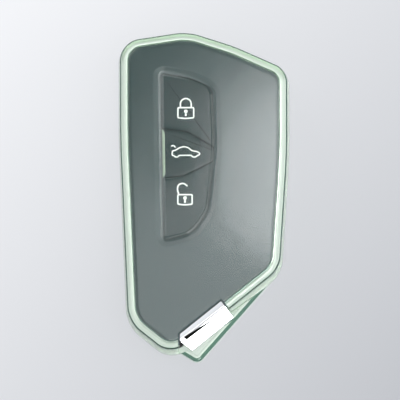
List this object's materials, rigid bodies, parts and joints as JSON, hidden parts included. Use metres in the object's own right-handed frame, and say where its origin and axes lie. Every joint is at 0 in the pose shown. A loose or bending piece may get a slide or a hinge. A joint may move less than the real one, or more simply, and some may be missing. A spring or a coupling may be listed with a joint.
{
  "type": "key fob cover",
  "caption": "Clear two-shell cover with a domed rim, film face and key-ring lug, closed round a push-button key fob with pull-out emergency key.",
  "frame": {"origin": "middle of the footprint, at the flat back that the cover lies on", "axes": "+Z out of the button face, +Y along the length towards the rounded top, +X to the right as the face is seen"},
  "size_m": [0.0478, 0.0914, 0.017],
  "materials": {
    "clear_tpu": "clear flexible plastic with a pale green tint, gloss moulded",
    "fob_face": "dark grey-green gloss moulded face",
    "fob_housing": "fine texture moulded black",
    "button_cap": "satin moulded caps",
    "silicone": "soft matt",
    "circuit_laminate": "green solder mask",
    "chip_epoxy": "moulded epoxy",
    "ferrite": "sintered ceramic",
    "copper_wire": "enamelled copper",
    "bright_steel": "rolled and ground",
    "contact_brass": "plated spring strip",
    "chrome": "polished chrome plate"
  },
  "bodies": {
    "rear_shell": {"cover_rear_shell": "clear_tpu"},
    "front_shell": {"cover_front_shell": "clear_tpu"},
    "fob": {"fob_rear_housing": "fob_housing", "fob_front_housing": "fob_face", "housing_seal": "silicone", "inner_carrier": "fob_housing", "keypad_mat": "silicone", "circuit_board": "circuit_laminate", "lock_switch": "bright_steel", "boot_switch": "bright_steel", "unlock_switch": "bright_steel", "radio_chip": "chip_epoxy", "crystal_can": "bright_steel", "antenna_core": "ferrite", "antenna_winding": "copper_wire", "transponder": "chip_epoxy", "coin_cell": "bright_steel", "battery_positive_clip": "contact_brass", "battery_negative_contact": "contact_brass", "battery_door": "fob_housing", "battery_door_seal": "silicone", "blade_detent_spring": "bright_steel"},
    "lock_key": {"lock_button": "button_cap"},
    "boot_key": {"boot_button": "button_cap"},
    "unlock_key": {"unlock_button": "button_cap"},
    "emergency_key": {"emergency_key_head": "chrome", "emergency_key_blade": "bright_steel", "emergency_key_pin": "bright_steel"}
  },
  "joints": [
    {"name": "fob_lift", "type": "slide", "parent": "rear_shell", "child": "fob", "axis": [0, 0, 1], "range_m": [0, 0.018]},
    {"name": "cover_open", "type": "slide", "parent": "rear_shell", "child": "front_shell", "axis": [0, 0, 1], "range_m": [0, 0.036]},
    {"name": "lock_press", "type": "slide", "parent": "fob", "child": "lock_key", "axis": [0, 0, -1], "range_m": [0, 0.0005], "stiffness_N_per_m": 800, "springref_m": -0.0003},
    {"name": "boot_press", "type": "slide", "parent": "fob", "child": "boot_key", "axis": [0, 0, -1], "range_m": [0, 0.0005], "stiffness_N_per_m": 800, "springref_m": -0.0003},
    {"name": "unlock_press", "type": "slide", "parent": "fob", "child": "unlock_key", "axis": [0, 0, -1], "range_m": [0, 0.0005], "stiffness_N_per_m": 800, "springref_m": -0.0003},
    {"name": "emergency_key_slide", "type": "slide", "parent": "fob", "child": "emergency_key", "axis": [0, -1, 0], "range_m": [0, 0.046]}
  ],
  "couplings": [
    {"joint": "cover_open", "follows": "fob_lift", "ratio": 2}
  ]
}
